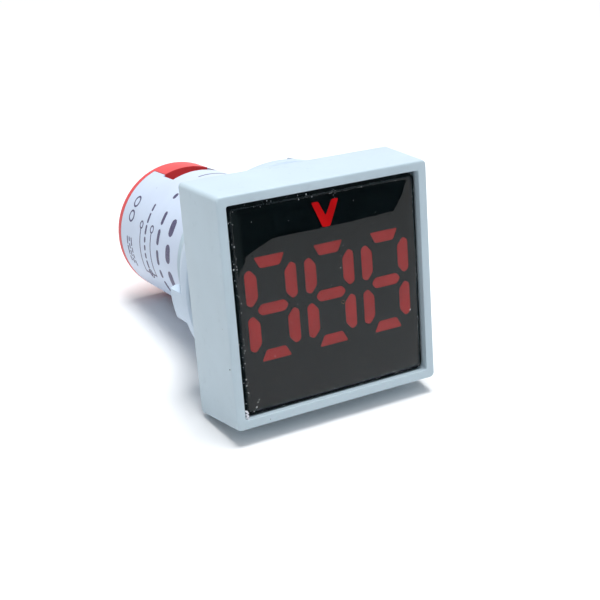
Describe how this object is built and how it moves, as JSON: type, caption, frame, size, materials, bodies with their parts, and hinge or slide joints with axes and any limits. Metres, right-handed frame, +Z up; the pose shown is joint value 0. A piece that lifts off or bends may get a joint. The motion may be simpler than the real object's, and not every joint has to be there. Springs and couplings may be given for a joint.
{
  "type": "digital panel meter",
  "caption": "Square panel voltmeter for a round panel hole: domed seven-segment display, gasket, lock nut, round barrel and rear screw terminals",
  "frame": {"origin": "point of the barrel's axis in the bezel's rear face, which is the panel's seat", "axes": "+Y runs back along the barrel, the display looks along -Y, +Z is up with the display upright"},
  "size_m": [0.03, 0.0478, 0.03],
  "materials": {
    "light_grey_plastic": "satin light grey ABS, faint bluish tone",
    "clear_resin": "clear glossy casting resin",
    "black_plastic": "black polycarbonate",
    "red_resin": "unlit red diffusing resin",
    "bright_red_resin": "bright red resin",
    "circuit_board": "green solder mask",
    "led_chip": "pale chip package",
    "chip_black": "black moulding compound",
    "tinned_metal": "tinned",
    "capacitor_sleeve": "dark shrink sleeve",
    "film_capacitor_red": "red dipped case",
    "resistor_blue": "pale blue coating",
    "varistor_blue": "blue coating",
    "gasket_rubber": "black rubber",
    "nut_plastic": "satin light grey plastic",
    "white_plastic": "satin white plastic with faint blue tone",
    "red_plastic": "satin red plastic",
    "plated_brass": "nickel plated",
    "plated_steel": "zinc plated"
  },
  "bodies": {
    "meter_body": {"front_housing": "light_grey_plastic", "display_dome": "clear_resin", "display_reflector": "black_plastic", "digit_left": "red_resin", "digit_middle": "red_resin", "digit_right": "red_resin", "volt_mark": "bright_red_resin", "display_board": "circuit_board", "led_chips": "led_chip", "driver_chip": "chip_black", "header_body": "chip_black", "header_pins": "tinned_metal", "power_board": "circuit_board", "smoothing_capacitor": "capacitor_sleeve", "film_capacitor": "film_capacitor_red", "bridge_rectifier": "chip_black", "voltage_regulator": "chip_black", "dropper_resistors": "resistor_blue", "varistor": "varistor_blue", "barrel_shell": "white_plastic", "terminal_block": "red_plastic", "terminal_plate_upper": "plated_brass", "terminal_plate_lower": "plated_brass"},
    "gasket": {"gasket": "gasket_rubber"},
    "lock_nut": {"lock_nut": "nut_plastic"},
    "clamp_upper": {"clamp_washer_upper": "plated_steel"},
    "screw_upper": {"terminal_screw_upper": "plated_steel"},
    "clamp_lower": {"clamp_washer_lower": "plated_steel"},
    "screw_lower": {"terminal_screw_lower": "plated_steel"}
  },
  "joints": [
    {"name": "nut_travel", "type": "slide", "parent": "meter_body", "child": "gasket", "axis": [0, 1, 0], "range_m": [0, 0.0055]},
    {"name": "nut_turn", "type": "hinge", "parent": "gasket", "child": "lock_nut", "pos_m": [0, 0.004, 0], "axis": [0, 1, 0], "range_deg": [0, 1320]},
    {"name": "clamp_upper_lift", "type": "slide", "parent": "meter_body", "child": "clamp_upper", "axis": [0, 1, 0], "range_m": [0, 0.0025]},
    {"name": "screw_upper_turn", "type": "hinge", "parent": "clamp_upper", "child": "screw_upper", "pos_m": [0, 0.03045, 0.00475], "axis": [0, 1, 0], "range_deg": [0, 1800]},
    {"name": "clamp_lower_lift", "type": "slide", "parent": "meter_body", "child": "clamp_lower", "axis": [0, 1, 0], "range_m": [0, 0.0025]},
    {"name": "screw_lower_turn", "type": "hinge", "parent": "clamp_lower", "child": "screw_lower", "pos_m": [0, 0.03045, -0.00475], "axis": [0, 1, 0], "range_deg": [0, 1800]}
  ],
  "couplings": [
    {"joint": "nut_travel", "follows": "nut_turn", "m_per_rad": 0.00023873},
    {"joint": "screw_upper_turn", "follows": "clamp_upper_lift", "rad_per_m": 12566},
    {"joint": "screw_lower_turn", "follows": "clamp_lower_lift", "rad_per_m": 12566}
  ]
}
